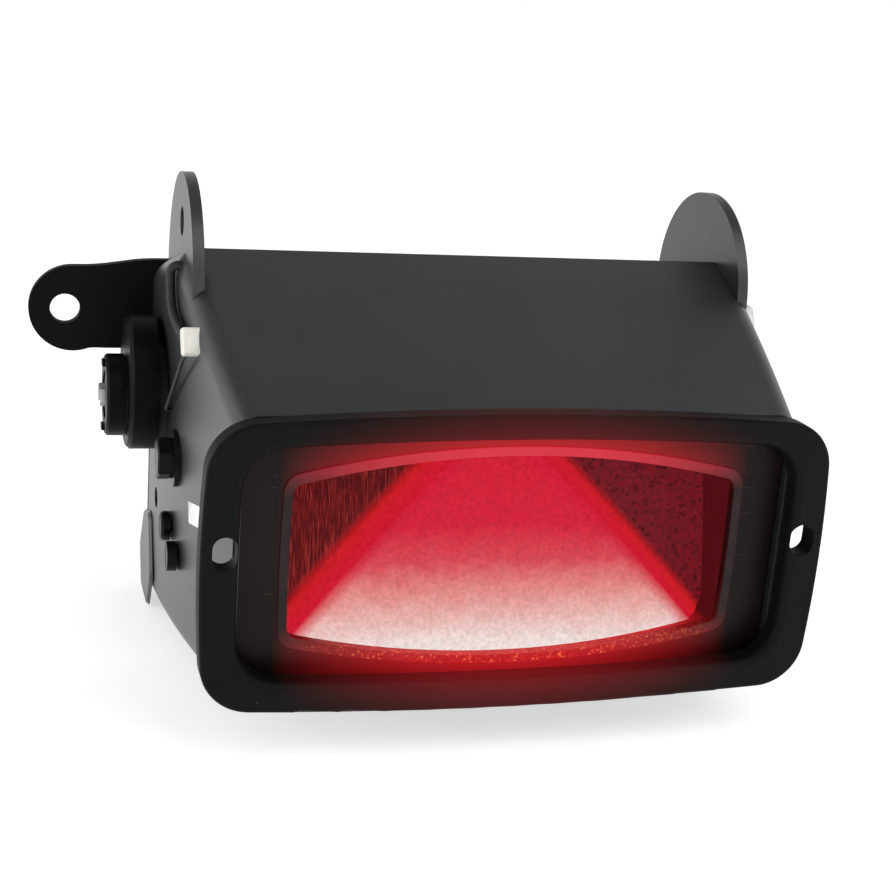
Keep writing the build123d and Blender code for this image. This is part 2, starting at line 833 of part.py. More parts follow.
with BuildPart() as filament:
    with BuildSketch(Plane(origin=(-filament_place + 0.6, holder_depth, mid + holder_height), z_dir=(0, 0, 1))):
        Circle(0.6)
    extrude(amount=post_gap + 0.6, both=True)
save(filament, "filament")

# Bright bowl behind the bulb, open towards the reflector.
bowl_inner = 15.0
bowl_left = -38.0
bowl_right = 30.0
bowl_sheet = 1.0
bowl_back = bowl_inner + bowl_sheet
with BuildPart() as lamp_bowl:
    with BuildSketch(holder(bowl_left)):
        Circle(bowl_back)
        with Locations((-bowl_back - 4, 0)):
            Rectangle(2 * bowl_back, 3 * bowl_back, mode=Mode.SUBTRACT)
    extrude(amount=bowl_right - bowl_left)
    with BuildSketch(holder(bowl_left + bowl_sheet)):
        Circle(bowl_inner)
    extrude(amount=bowl_right - bowl_left - 2 * bowl_sheet, mode=Mode.SUBTRACT)
    with BuildSketch(holder(bowl_left - 1)):
        Circle(socket_radius + 1.0)
    extrude(amount=5, mode=Mode.SUBTRACT)
save(lamp_bowl, "lamp_bowl")

bracket_half_width = 12.0
with BuildPart() as bowl_bracket:
    with BuildSketch(front(housing_rear)):
        with Locations((0, holder_height)):
            Rectangle(2 * bracket_half_width, 30)
    extrude(amount=housing_rear - holder_depth - 8)
    with BuildSketch(holder(-bracket_half_width - 1)):
        Circle(bowl_back)
    extrude(amount=2 * bracket_half_width + 2, mode=Mode.SUBTRACT)
    with BuildSketch(front(housing_rear)):
        with Locations(*bracket_screw_places):
            Circle(bracket_screw_radius)
    extrude(amount=3.5, mode=Mode.SUBTRACT)
save(bowl_bracket, "bowl_bracket")

with BuildPart() as bracket_screws:
    with BuildSketch(front(housing_rear + plate_thickness)):
        with Locations(*bracket_screw_places):
            Circle(2.8)
    extrude(amount=-1.8)
    fillet(bracket_screws.faces().group_by(Axis.Y)[-1].edges(), 0.9)
    with BuildSketch(front(housing_rear + plate_thickness + 1.8)):
        with Locations(*bracket_screw_places):
            Rectangle(3.2, 0.7)
            Rectangle(0.7, 3.2)
    extrude(amount=0.9, mode=Mode.SUBTRACT)
    with BuildSketch(front(housing_rear + plate_thickness)):
        with Locations(*bracket_screw_places):
            Circle(bracket_screw_radius)
    extrude(amount=plate_thickness + 3.5)
save(bracket_screws, "bracket_screws")


def washer(across, place, outer, thickness):
    """Flat ring on a side wall, cut to the wall's bow where it lies on it."""
    with BuildPart() as ring:
        with BuildSketch(side(across)):
            with Locations(place):
                Circle(outer)
                Circle(bolt_radius + 0.2, mode=Mode.SUBTRACT)
        extrude(amount=thickness)
        add(outside, mode=Mode.SUBTRACT)
    return ring


# Earth bolt through the left wall: flat washer, spring washer, hexagon head, nut inside.
hex_wall = wall_at(hex_bolt_place[0])
flat_face = hex_wall + 1.0
spring_face = flat_face + 1.0
head_height = 3.2
flat_washer = washer(-flat_face, hex_bolt_place, washer_radius, 6)
save(flat_washer, "flat_washer")
with BuildPart() as spring_washer:
    with BuildSketch(side(-spring_face)):
        with Locations(hex_bolt_place):
            Circle(5.4)
            Circle(bolt_radius + 0.2, mode=Mode.SUBTRACT)
        with Locations((hex_bolt_place[0] + 4, hex_bolt_place[1])):
            Rectangle(5, 0.8, rotation=25, mode=Mode.SUBTRACT)
    extrude(amount=spring_face - flat_face)
save(spring_washer, "spring_washer")


def hex_radius(across_flats):
    return across_flats / 2 / cos(pi / 6)


with BuildPart() as hex_bolt:
    with BuildSketch(side(-spring_face - head_height)):
        with Locations(hex_bolt_place):
            RegularPolygon(hex_radius(bolt_across_flats), 6, rotation=30)
    extrude(amount=head_height)
    chamfer(hex_bolt.faces().sort_by(Axis.X)[0].edges(), 0.4)
    with BuildSketch(side(-spring_face)):
        with Locations(hex_bolt_place):
            Circle(bolt_radius)
    extrude(amount=14.0)
save(hex_bolt, "hex_bolt")
with BuildPart() as hex_nut:
    with BuildSketch(side(-hex_wall + sheet + 0.6)):
        with Locations(hex_bolt_place):
            RegularPolygon(hex_radius(bolt_across_flats), 6)
            Circle(bolt_radius, mode=Mode.SUBTRACT)
    extrude(amount=5.0)
save(hex_nut, "hex_nut")

# Two small pan-head screws below the earth bolt.
with BuildPart() as side_screws:
    for place in side_screw_places:
        seat = wall_at(place[0]) + 0.4
        with BuildSketch(side(-seat - 2.6)):
            with Locations(place):
                Circle(4.0)
        extrude(amount=2.6)
        with BuildSketch(side(-seat)):
            with Locations(place):
                Circle(small_screw_radius)
        extrude(amount=9.0)
    fillet(side_screws.faces().filter_by(Plane.YZ).group_by(Axis.X)[0].edges(), 1.0)
    for place in side_screw_places:
        with BuildSketch(side(-wall_at(place[0]) - 3.0)):
            with Locations(place):
                Rectangle(6.0, 1.0, rotation=75)
        extrude(amount=1.1, mode=Mode.SUBTRACT)
save(side_screws, "side_screws")

# Fastener at the upper rear of the right wall.
right_wall = wall_at(right_bolt_place[0])
with BuildPart() as right_washer:
    with BuildSketch(side(right_wall - 2)):
        with Locations(right_bolt_place):
            Circle(6.4)
            Circle(bolt_radius + 0.2, mode=Mode.SUBTRACT)
    extrude(amount=3.8)
    add(outside, mode=Mode.SUBTRACT)
save(right_washer, "right_washer")
with BuildPart() as right_bolt:
    with BuildSketch(side(right_wall + 1.8)):
        with Locations(right_bolt_place):
            RegularPolygon(hex_radius(bolt_across_flats), 6)
    extrude(amount=4.0)
    chamfer(right_bolt.faces().sort_by(Axis.X)[-1].edges(), 0.4)
    with BuildSketch(side(right_wall + 1.8)):
        with Locations(right_bolt_place):
            Circle(bolt_radius)
    extrude(amount=-12.0)
save(right_bolt, "right_bolt")
with BuildPart() as right_nut:
    with BuildSketch(side(right_wall - sheet - 0.6)):
        with Locations(right_bolt_place):
            RegularPolygon(hex_radius(bolt_across_flats), 6)
            Circle(bolt_radius, mode=Mode.SUBTRACT)
    extrude(amount=-5.0)
save(right_nut, "right_nut")


def lead_run(points, ratio, radius):
    """A lead of straight runs joined by arcs as large as each pair of runs allows."""
    radii = []
    for before, here, after in zip(points, points[1:], points[2:]):
        entering = Vector(*here) - Vector(*before)
        leaving = Vector(*after) - Vector(*here)
        turn = radians(entering.get_angle(leaving))
        radii.append(ratio * min(entering.length, leaving.length) / tan(turn / 2))
    print("lead radii", [round(value, 1) for value in radii])
    with BuildPart() as run:
        with BuildLine() as path:
            FilletPolyline(*points, radius=radii)
        with BuildSketch(Plane(origin=path.line @ 0, z_dir=path.line % 0)):
            Circle(radius)
        sweep()
    length = sum(edge.length for edge in path.edges())
    ratio_of_volumes = run.part.volume / (pi * radius**2 * length)
    print("lead length", round(length, 1), "volume over section times length", round(ratio_of_volumes, 4))
    return run


# Sleeved lead: out of the bend beside the left ear, over and down the wall to its clip.
sleeve_points = [
    (-74.5, 67.6, mid + 58.6),
    (-80.7, 68.4, mid + 59.8),
    (-80.6, 69.2, mid + 54.0),
    (-80.4, 67.0, mid + 49.0),
    (-79.9, 60.5, mid + 46.0),
    (-79.4, 53.5, mid + 45.0),
    (-78.9, 44.0, mid + 44.4),
]
lead_sleeve = lead_run(sleeve_points, 0.45, lead_radius)
save(lead_sleeve, "lead_sleeve")
wire_points = [
    (-78.6, 42.6, mid + 42.8),
    (-79.6, 46.0, mid + 40.0),
    (-79.9, 56.0, mid + 32.2),
    (-80.7, 72.0, mid + 19.2),
    (-77.4, 72.0, mid + 19.2),
]
lead_wire = lead_run(wire_points, 0.45, wire_radius)
save(lead_wire, "lead_wire")

# Moulded clip that holds the end of the sleeve against the wall.
with BuildPart() as lead_clip:
    with BuildSketch(side(-80.6)) as clip_outline:
        with BuildLine():
            Polyline((46.6, 47.6), (42.6, 48.8), (38.6, 43.2), (42.4, 41.2), close=True)
        make_face()
        fillet(clip_outline.vertices(), 1.0)
    extrude(amount=6.0)
    add(outside, mode=Mode.SUBTRACT)
    fillet(lead_clip.faces().sort_by(Axis.X)[0].edges(), 0.8)
    add(lead_sleeve.part, mode=Mode.SUBTRACT)
    add(lead_wire.part, mode=Mode.SUBTRACT)
save(lead_clip, "lead_clip")

with BuildPart() as lead_grommet:
    with BuildSketch(side(-80.0)):
        with Locations(lead_entry):
            Circle(lead_radius + 1.0)
    extrude(amount=6.0)
    add(outside, mode=Mode.INTERSECT)
    add(inside, mode=Mode.SUBTRACT)
    add(lead_sleeve.part, mode=Mode.SUBTRACT)
save(lead_grommet, "lead_grommet")

# Blank self-adhesive label beside the flange.
with BuildPart() as side_label:
    with BuildSketch(side(-80.0)):
        with Locations((35.0, 1.7)):
            Rectangle(21.0, 5.6, rotation=-12)
    extrude(amount=10.0)
    add(housing_block(-0.15, housing_front, housing_rear), mode=Mode.INTERSECT)
    add(outside, mode=Mode.SUBTRACT)
save(side_label, "side_label")
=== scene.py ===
import math

import bmesh
import bpy
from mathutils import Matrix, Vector


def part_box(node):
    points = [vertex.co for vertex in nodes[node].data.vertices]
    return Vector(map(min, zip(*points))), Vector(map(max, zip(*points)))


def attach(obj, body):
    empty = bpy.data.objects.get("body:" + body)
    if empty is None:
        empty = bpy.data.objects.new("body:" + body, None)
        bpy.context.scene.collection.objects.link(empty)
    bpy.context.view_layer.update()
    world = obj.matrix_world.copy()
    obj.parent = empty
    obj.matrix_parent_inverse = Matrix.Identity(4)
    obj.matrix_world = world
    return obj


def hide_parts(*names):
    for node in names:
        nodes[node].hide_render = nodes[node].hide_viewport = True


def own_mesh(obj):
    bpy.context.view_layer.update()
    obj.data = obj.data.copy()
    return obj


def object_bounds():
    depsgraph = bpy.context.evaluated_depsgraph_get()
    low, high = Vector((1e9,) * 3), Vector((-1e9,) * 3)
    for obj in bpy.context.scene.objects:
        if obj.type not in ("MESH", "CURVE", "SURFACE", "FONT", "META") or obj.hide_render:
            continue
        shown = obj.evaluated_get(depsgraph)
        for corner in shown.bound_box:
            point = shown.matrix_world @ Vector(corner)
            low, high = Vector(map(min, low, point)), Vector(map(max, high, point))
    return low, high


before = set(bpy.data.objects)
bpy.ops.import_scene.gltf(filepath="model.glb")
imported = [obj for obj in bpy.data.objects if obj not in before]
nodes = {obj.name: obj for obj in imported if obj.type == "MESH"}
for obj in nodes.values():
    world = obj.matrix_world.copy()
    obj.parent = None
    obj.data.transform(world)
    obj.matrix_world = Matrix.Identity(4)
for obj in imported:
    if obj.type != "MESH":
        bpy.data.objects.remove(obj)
cad_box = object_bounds()

# Folded housing: one skin of 1.6 mm mild steel with welded ears, rear plate, foot plates and inner tabs.
# All of it is sprayed satin black after welding, so the paint runs on without a break from piece to piece.


def linear(hex_colour):
    """An sRGB hex colour as the linear RGBA that shaders take."""
    parts = [int(hex_colour[i:i + 2], 16) / 255 for i in (1, 3, 5)]
    return tuple(p / 12.92 if p <= 0.04045 else ((p + 0.055) / 1.055) ** 2.4 for p in parts) + (1.0,)


def add(finish, kind, settings=None, links=None):
    """Adds one node. Settings are its properties, sockets or colour stops; links are its inputs."""
    node = finish.node_tree.nodes.new("ShaderNode" + kind)
    for name, value in (settings or {}).items():
        if name == "stops":
            ramp = node.color_ramp
            while len(ramp.elements) < len(value):
                ramp.elements.new(0.5)
            for stop, (place, colour) in zip(ramp.elements, value):
                stop.position = place
                stop.color = linear(colour) if isinstance(colour, str) else (colour, colour, colour, 1.0)
        elif isinstance(name, int) or name in node.inputs:
            node.inputs[name].default_value = linear(value) if isinstance(value, str) else value
        else:
            setattr(node, name, value)
    for name, socket in (links or {}).items():
        finish.node_tree.links.new(socket, node.inputs[name])
    return node


def new_finish(name):
    """An empty material, and the row frame's coordinates in metres."""
    finish = bpy.data.materials.new(name)
    finish.use_nodes = True
    finish.node_tree.nodes.clear()
    return finish, add(finish, "TexCoord").outputs["Object"]


def close_finish(finish, surface):
    """Links the last shader to an output and hands the material back."""
    add(finish, "OutputMaterial", {}, {"Surface": surface.outputs[0]})
    return finish


def wear(finish, *names):
    """Puts a finish on CAD nodes."""
    for name in names:
        nodes[name].data.materials.clear()
        nodes[name].data.materials.append(finish)


def satin_black_paint(name, dark, light, rough, gloss):
    """Air-dried satin paint on steel: fine orange peel, cloudy sheen and a few dry scuffs."""
    finish, place = new_finish(name)
    cloud = add(finish, "TexNoise", {"Scale": 1000 / 60, "Detail": 3.0, "Roughness": 0.55},
                {"Vector": place})
    tone = add(finish, "ValToRGB", {"stops": [(0.35, dark), (0.68, light)]}, {0: cloud.outputs[0]})
    # Scuffs are about 2 mm long and under half a millimetre wide. They show where two noises both run high.
    scuff_start = 0.462
    stretched = add(finish, "Mapping", {"Scale": (1.0, 0.35, 2.2), "Rotation": (0.3, 0.2, 0.6)}, {0: place})
    marks = add(finish, "TexNoise", {"Scale": 1000 / 2.4, "Detail": 2.0}, {"Vector": stretched.outputs[0]})
    patches = add(finish, "TexNoise", {"Scale": 1000 / 34, "Detail": 1.0}, {"Vector": place})
    rare = add(finish, "Math", {"operation": "MULTIPLY"}, {0: marks.outputs[0], 1: patches.outputs[0]})
    scuffs = add(finish, "ValToRGB", {"stops": [(scuff_start, 0.0), (scuff_start + 0.035, 1.0)]},
                 {0: rare.outputs[0]})
    colour = add(finish, "Mix", {"data_type": "RGBA", 7: "#3C3D3E"},
                 {0: scuffs.outputs[0], 6: tone.outputs[0]})
    sheen = add(finish, "MapRange", {3: rough - 0.05, 4: rough + 0.07}, {0: cloud.outputs[0]})
    # Orange peel is about 0.7 mm across.
    peel = add(finish, "TexNoise", {"Scale": 1000 / 0.7, "Detail": 1.0}, {"Vector": place})
    bump = add(finish, "Bump", {"Strength": 0.08, "Distance": 0.0002}, {"Height": peel.outputs[0]})
    shader = add(finish, "BsdfPrincipled", {"IOR": 1.5, "Specular IOR Level": gloss},
                 {"Base Color": colour.outputs[2], "Roughness": sheen.outputs[0],
                  "Normal": bump.outputs[0]})
    return close_finish(finish, shader)


# Skin, foot plates and inner tabs: blue-grey black, cloudy where the paint lies thin.
skin_paint = satin_black_paint("satin_black_paint_on_steel", "#1B1E20", "#26292B", 0.36, 0.75)
wear(skin_paint, "housing_shell", "left_foot", "right_foot", "frame_tabs", "rear_tabs", "bowl_bracket")

# Mounting ears: the same paint, a little browner, over sawn plate. The rear plate's coat is darker and drier.
ear_paint = satin_black_paint("satin_black_paint_on_plate", "#1B1918", "#2A2725", 0.36, 0.7)
wear(ear_paint, "left_ear", "right_ear")
plate_paint = satin_black_paint("matt_black_paint_on_plate", "#060A0A", "#0C1212", 0.6, 0.1)
wear(plate_paint, "rear_plate")

# Front flange: a casting with the same satin paint, with a painted red glow in place of the lamp's light from
# the lens opening.
# The painted glow fades over a few millimetres from the opening's edge, which bows in towards both ends.
lamp_red = "#C01A22"
window_middle = -0.0056
window_half_height = 0.0286
window_bow = 1.98
window_end_squared = 0.0037


def from_window(finish, place):
    """Height, distance above or below the window's middle, and the square of the distance across."""
    across, _, height = add(finish, "SeparateXYZ", {}, {0: place}).outputs
    above = add(finish, "Math", {"operation": "ADD", 1: -window_middle}, {0: height})
    distance = add(finish, "Math", {"operation": "ABSOLUTE"}, {0: above.outputs[0]})
    squared = add(finish, "Math", {"operation": "MULTIPLY"}, {0: across, 1: across})
    return height, distance.outputs[0], squared.outputs[0]


def window_glow(finish, place, reach):
    """Strength of the painted glow at a point: 1 at the window's bowed edge, 0 at the reach and at the ends.
    """
    _, distance, squared = from_window(finish, place)
    bowed = add(finish, "Math", {"operation": "MULTIPLY_ADD", 1: window_bow}, {0: squared, 2: distance})
    near = add(finish, "MapRange", {1: window_half_height + reach, 2: window_half_height},
               {0: bowed.outputs[0]})
    middle = add(finish, "MapRange", {1: window_end_squared, 2: 0.0}, {0: squared})
    falling = add(finish, "Math", {"operation": "POWER", 1: 1.5}, {0: near.outputs[0]})
    return add(finish, "Math", {"operation": "MULTIPLY"},
               {0: falling.outputs[0], 1: middle.outputs[0]}).outputs[0]


glow_finish, place = new_finish("satin_black_paint_on_casting_with_painted_glow")
cloud = add(glow_finish, "TexNoise", {"Scale": 1000 / 45, "Detail": 3.0}, {"Vector": place})
tone = add(glow_finish, "ValToRGB", {"stops": [(0.35, "#070A09"), (0.7, "#0E1111")]},
           {0: cloud.outputs[0]})
specks = add(glow_finish, "TexNoise", {"Scale": 1000 / 1.2, "Detail": 1.0}, {"Vector": place})
dust = add(glow_finish, "ValToRGB", {"stops": [(0.79, 0.0), (0.82, 1.0)]}, {0: specks.outputs[0]})
colour = add(glow_finish, "Mix", {"data_type": "RGBA", 7: "#55524F"},
             {0: dust.outputs[0], 6: tone.outputs[0]})
sheen = add(glow_finish, "MapRange", {3: 0.48, 4: 0.62}, {0: cloud.outputs[0]})
cast_grain = add(glow_finish, "TexNoise", {"Scale": 1000 / 0.9, "Detail": 2.0}, {"Vector": place})
bump = add(glow_finish, "Bump", {"Strength": 0.16, "Distance": 0.0002}, {"Height": cast_grain.outputs[0]})
# Painted red glow on the flange near the lens opening, standing in for the lamp's light.
flange_glow = add(glow_finish, "Math", {"operation": "MULTIPLY", 1: 0.33},
                  {0: window_glow(glow_finish, place, 0.016)})
shader = add(glow_finish, "BsdfPrincipled",
             {"IOR": 1.5, "Specular IOR Level": 0.1, "Emission Color": lamp_red},
             {"Base Color": colour.outputs[2], "Roughness": sheen.outputs[0], "Normal": bump.outputs[0],
              "Emission Strength": flange_glow.outputs[0]})
close_finish(glow_finish, shader)
wear(glow_finish, "front_flange")

# Moulded surround behind the flange: brown-black ABS with a soft gloss and fine wiping scratches.
# It lines the opening, so its painted red glow, standing in for the lamp's light, is stronger than the
# flange's.
surround_finish, place = new_finish("moulded_abs_semi_gloss_with_painted_glow")
cloud = add(surround_finish, "TexNoise", {"Scale": 1000 / 30, "Detail": 3.0}, {"Vector": place})
tone = add(surround_finish, "ValToRGB", {"stops": [(0.35, "#0E0806"), (0.7, "#170E0B")]},
           {0: cloud.outputs[0]})
drawn = add(surround_finish, "Mapping", {"Rotation": (0.0, 0.7, 0.0), "Scale": (0.08, 1.0, 1.0)},
            {0: place})
hairs = add(surround_finish, "TexNoise", {"Scale": 1000 / 0.5, "Detail": 1.0},
            {"Vector": drawn.outputs[0]})
lines = add(surround_finish, "ValToRGB", {"stops": [(0.68, 0.0), (0.74, 1.0)]}, {0: hairs.outputs[0]})
colour = add(surround_finish, "Mix", {"data_type": "RGBA", 7: "#33261F"},
             {0: lines.outputs[0], 6: tone.outputs[0]})
sheen = add(surround_finish, "MapRange", {3: 0.3, 4: 0.42}, {0: cloud.outputs[0]})
bump = add(surround_finish, "Bump", {"Strength": 0.08, "Distance": 0.0001}, {"Height": hairs.outputs[0]})
# Painted red glow near the lens opening.
surround_glow = add(surround_finish, "Math", {"operation": "MULTIPLY", 1: 0.9},
                    {0: window_glow(surround_finish, place, 0.014)})
shader = add(surround_finish, "BsdfPrincipled",
             {"IOR": 1.54, "Specular IOR Level": 0.12, "Emission Color": lamp_red},
             {"Base Color": colour.outputs[2], "Roughness": sheen.outputs[0], "Normal": bump.outputs[0],
              "Emission Strength": surround_glow.outputs[0]})
close_finish(surround_finish, shader)
wear(surround_finish, "lens_surround")

# Lens seal: a silicone ring with a painted glow in place of the lamp's light round the lens.
# The painted glow is pink along the top, deep red with painted sparkles along the bottom, and hardly any at
# the sides.
seal_finish, place = new_finish("silicone_with_painted_glow")
height, distance, squared = from_window(seal_finish, place)
smear = add(seal_finish, "TexNoise", {"Scale": 1000 / 5, "Detail": 3.0}, {"Vector": place})
painted_sparkle = add(seal_finish, "TexNoise", {"Scale": 1000 / 0.8, "Detail": 2.0}, {"Vector": place})
base = add(seal_finish, "ValToRGB", {"stops": [(0.3, "#180B0A"), (0.7, "#281917")]},
           {0: smear.outputs[0]})
is_top = add(seal_finish, "Math", {"operation": "GREATER_THAN", 1: 0.0}, {0: height})
painted_glow_low = add(seal_finish, "ValToRGB", {"stops": [(0.45, "#B8101A"), (0.62, "#D62420"), (0.72, "#F08048")]},
              {0: painted_sparkle.outputs[0]})
painted_glow_colour = add(seal_finish, "Mix", {"data_type": "RGBA", 7: "#D4263A"},
               {0: is_top.outputs[0], 6: painted_glow_low.outputs[0]})
# Painted glow: full along the top and bottom runs, fading towards the ends.
run_start, run_full = 0.0165, 0.0225
on_run = add(seal_finish, "MapRange", {1: run_start, 2: run_full}, {0: distance})
middle = add(seal_finish, "MapRange", {1: 0.0036, 2: 0.0002, 3: 0.12, 4: 1.0}, {0: squared})
ring_glow = add(seal_finish, "Math", {"operation": "MULTIPLY"},
                {0: on_run.outputs[0], 1: middle.outputs[0]})
shader = add(seal_finish, "BsdfPrincipled", {"IOR": 1.41, "Roughness": 0.35, "Specular IOR Level": 0.3},
             {"Base Color": base.outputs[0], "Emission Color": painted_glow_colour.outputs[2],
              "Emission Strength": ring_glow.outputs[0]})
close_finish(seal_finish, shader)
wear(seal_finish, "lens_seal")

# Lens: clear cast acrylic with a faint red tint, polished in front.
# A light haze varies its sheen.


def clouded_finish(name, grain, detail, settings, tones=None, sheen=None):
    """A finish whose colour and sheen follow one noise, with a grain in millimetres."""
    finish, place = new_finish(name)
    cloud = add(finish, "TexNoise", {"Scale": 1000 / grain, "Detail": detail}, {"Vector": place})
    links = {}
    if tones:
        links["Base Color"] = add(finish, "ValToRGB", {"stops": tones}, {0: cloud.outputs[0]}).outputs[0]
    if sheen:
        smooth, dull = sheen
        links["Roughness"] = add(finish, "MapRange", {3: smooth, 4: dull}, {0: cloud.outputs[0]}).outputs[0]
    return close_finish(finish, add(finish, "BsdfPrincipled", settings, links))


lens_finish = clouded_finish(
    "clear_acrylic_red_tint", 8, 2.0,
    {"Base Color": "#5A0A10", "IOR": 1.49, "Alpha": 0.03, "Specular IOR Level": 0.08}, sheen=(0.05, 0.14))
wear(lens_finish, "lens")

# Reflector: a red moulding whose light from the bulb is painted into its emission. The painted light is
# brightest on the raised fan's low front edge, orange-red on its sloping sides and dim in the sunk corners
# beside it, streaked on the left and speckled on the right.
reflector_finish, place = new_finish("moulded_red_reflector_with_painted_light")
across, depth, height = add(reflector_finish, "SeparateXYZ", {}, {0: place}).outputs
# The fan's edges are arcs drawn on the leaning back; inward is the distance inside them.
lean_depth, lean_height, lean_start = 0.2457, 0.9693, -0.002508
fan_edge_centre = (-0.42847, -0.44391, 0.0)
fan_edge_radius = 0.64410
leant = add(reflector_finish, "Math", {"operation": "MULTIPLY_ADD", 1: lean_depth, 2: lean_start},
            {0: depth})
up = add(reflector_finish, "Math", {"operation": "MULTIPLY_ADD", 1: lean_height},
         {0: height, 2: leant.outputs[0]})
aside = add(reflector_finish, "Math", {"operation": "ABSOLUTE"}, {0: across})
on_back = add(reflector_finish, "CombineXYZ", {}, {0: aside.outputs[0], 1: up.outputs[0]})
from_centre = add(reflector_finish, "VectorMath", {"operation": "DISTANCE", 1: fan_edge_centre},
                  {0: on_back.outputs[0]})
inward = add(reflector_finish, "Math", {"operation": "SUBTRACT", 0: fan_edge_radius},
             {1: from_centre.outputs["Value"]})
grit = add(reflector_finish, "TexNoise", {"Scale": 1000 / 1.1, "Detail": 2.0}, {"Vector": place})
mottle = add(reflector_finish, "TexNoise", {"Scale": 1000 / 5, "Detail": 3.0}, {"Vector": place})
# Fan: height above its low front edge sets the painted light's colour, blurred by the mottle.
fan_low, fan_high = -0.030, 0.026
shifted = add(reflector_finish, "Math", {"operation": "MULTIPLY_ADD", 1: 0.006},
              {0: mottle.outputs[0], 2: height})
rise = add(reflector_finish, "MapRange", {1: fan_low, 2: fan_high}, {0: shifted.outputs[0]})
fan_painted_light = add(reflector_finish, "ValToRGB",
               {"stops": [(0.0, "#F8EAE7"), (0.12, "#F2C0B9"), (0.23, "#EB9692"),
                          (0.38, "#DD4A57"), (0.54, "#D8203C"), (1.0, "#D81C35")]},
               {0: rise.outputs[0]})
# Corners: dim painted light, with upright streaks on the left and dark speckles on the right.
combed = add(reflector_finish, "Mapping", {"Scale": (1.0, 0.05, 0.05)}, {0: place})
streaks = add(reflector_finish, "TexNoise", {"Scale": 1000 / 0.25, "Detail": 2.0},
              {"Vector": combed.outputs[0]})
left_painted_light = add(reflector_finish, "ValToRGB",
                {"stops": [(0.38, "#3E0A0C"), (0.52, "#64100F"), (0.68, "#9A2A28")]},
                {0: streaks.outputs[0]})
right_painted_light = add(reflector_finish, "ValToRGB",
                 {"stops": [(0.3, "#3E0C12"), (0.42, "#661820"), (0.7, "#7A141E")]},
                 {0: grit.outputs[0]})
is_right = add(reflector_finish, "Math", {"operation": "GREATER_THAN", 1: 0.0}, {0: across})
corner_painted_light = add(reflector_finish, "Mix", {"data_type": "RGBA"},
                  {0: is_right.outputs[0], 6: left_painted_light.outputs[0], 7: right_painted_light.outputs[0]})
# Sloping sides: painted orange-red light from just outside the arcs to the fan's flat, blended into the
# corners and the fan.
along_side = add(reflector_finish, "MapRange", {1: -0.001, 2: 0.0085}, {0: inward.outputs[0]})
side_painted_light = add(reflector_finish, "ValToRGB",
                {"stops": [(0.0, "#B81A1E"), (0.35, "#D31E29"), (0.95, "#D6143A")]},
                {0: along_side.outputs[0]})
onto_side = add(reflector_finish, "MapRange", {1: -0.0012, 2: 0.0014}, {0: inward.outputs[0]})
onto_fan = add(reflector_finish, "MapRange", {1: 0.0055, 2: 0.0095}, {0: inward.outputs[0]})
lower_painted_light = add(reflector_finish, "Mix", {"data_type": "RGBA"},
                {0: onto_side.outputs[0], 6: corner_painted_light.outputs[2], 7: side_painted_light.outputs[0]})
face_painted_light = add(reflector_finish, "Mix", {"data_type": "RGBA"},
                {0: onto_fan.outputs[0], 6: lower_painted_light.outputs[2], 7: fan_painted_light.outputs[0]})
# The walls round the moulding stand in front of the fan: painted dim maroon light, and a painted hot red glow
# below it.
hot_glow_from, hot_glow_full = -0.0270, -0.0300
wall_turn = 0.35
is_low = add(reflector_finish, "MapRange", {1: hot_glow_from, 2: hot_glow_full}, {0: height})
wall_painted_light = add(reflector_finish, "Mix", {"data_type": "RGBA", 6: "#4A0C10", 7: "#D01A20"},
                {0: is_low.outputs[0]})
normal = add(reflector_finish, "NewGeometry").outputs["Normal"]
facing = add(reflector_finish, "SeparateXYZ", {}, {0: normal})
turned_away = add(reflector_finish, "Math", {"operation": "ABSOLUTE"}, {0: facing.outputs[1]})
is_wall = add(reflector_finish, "Math", {"operation": "LESS_THAN", 1: wall_turn},
              {0: turned_away.outputs[0]})
painted_light = add(reflector_finish, "Mix", {"data_type": "RGBA"},
               {0: is_wall.outputs[0], 6: face_painted_light.outputs[2], 7: wall_painted_light.outputs[2]})
# The grit varies the strength of the painted light.
grain = add(reflector_finish, "MapRange", {1: 0.3, 2: 0.7, 3: 0.82, 4: 1.06}, {0: grit.outputs[0]})
bump = add(reflector_finish, "Bump", {"Strength": 0.3, "Distance": 0.0003}, {"Height": grit.outputs[0]})
shader = add(reflector_finish, "BsdfPrincipled",
             {"Base Color": "#24060A", "Roughness": 0.5, "Specular IOR Level": 0.08},
             {"Emission Color": painted_light.outputs[2], "Emission Strength": grain.outputs[0],
              "Normal": bump.outputs[0]})
close_finish(reflector_finish, shader)
wear(reflector_finish, "horn_reflector")

# Bulb holder boss and locking cap: turned, then painted black.
# The turning shows through the paint as faint uneven tone.
holder_finish = clouded_finish(
    "black_paint_on_turned_metal", 1.5, 2.0, {"IOR": 1.5, "Specular IOR Level": 0.08},
    tones=[(0.4, "#040606"), (0.75, "#0B0D0D")], sheen=(0.32, 0.5))
wear(holder_finish, "holder_boss", "locking_cap")

# Black rubber: boss seal, socket seal, lead sleeve, wire covering and grommet.
# A dusty bloom greys it in patches.
rubber_finish = clouded_finish(
    "moulded_black_rubber", 3, 4.0, {"Roughness": 0.6, "IOR": 1.5},
    tones=[(0.35, "#0D0D0E"), (0.75, "#232224")])
wear(rubber_finish, "boss_seal", "socket_seal", "lead_sleeve", "lead_wire", "lead_grommet")

# Zinc plated steel: the nuts, the right bolt, small screws, the contact spring and the blades.
# A cloudy passivated film covers it.
zinc_finish = clouded_finish(
    "zinc_plated_steel", 4, 4.0, {"Metallic": 1.0},
    tones=[(0.3, "#8C8E92"), (0.7, "#C9C8C6")], sheen=(0.25, 0.45))
wear(zinc_finish, "boss_nut", "hex_nut", "right_nut", "right_bolt", "reflector_screws", "frame_screws",
     "terminal_blades")

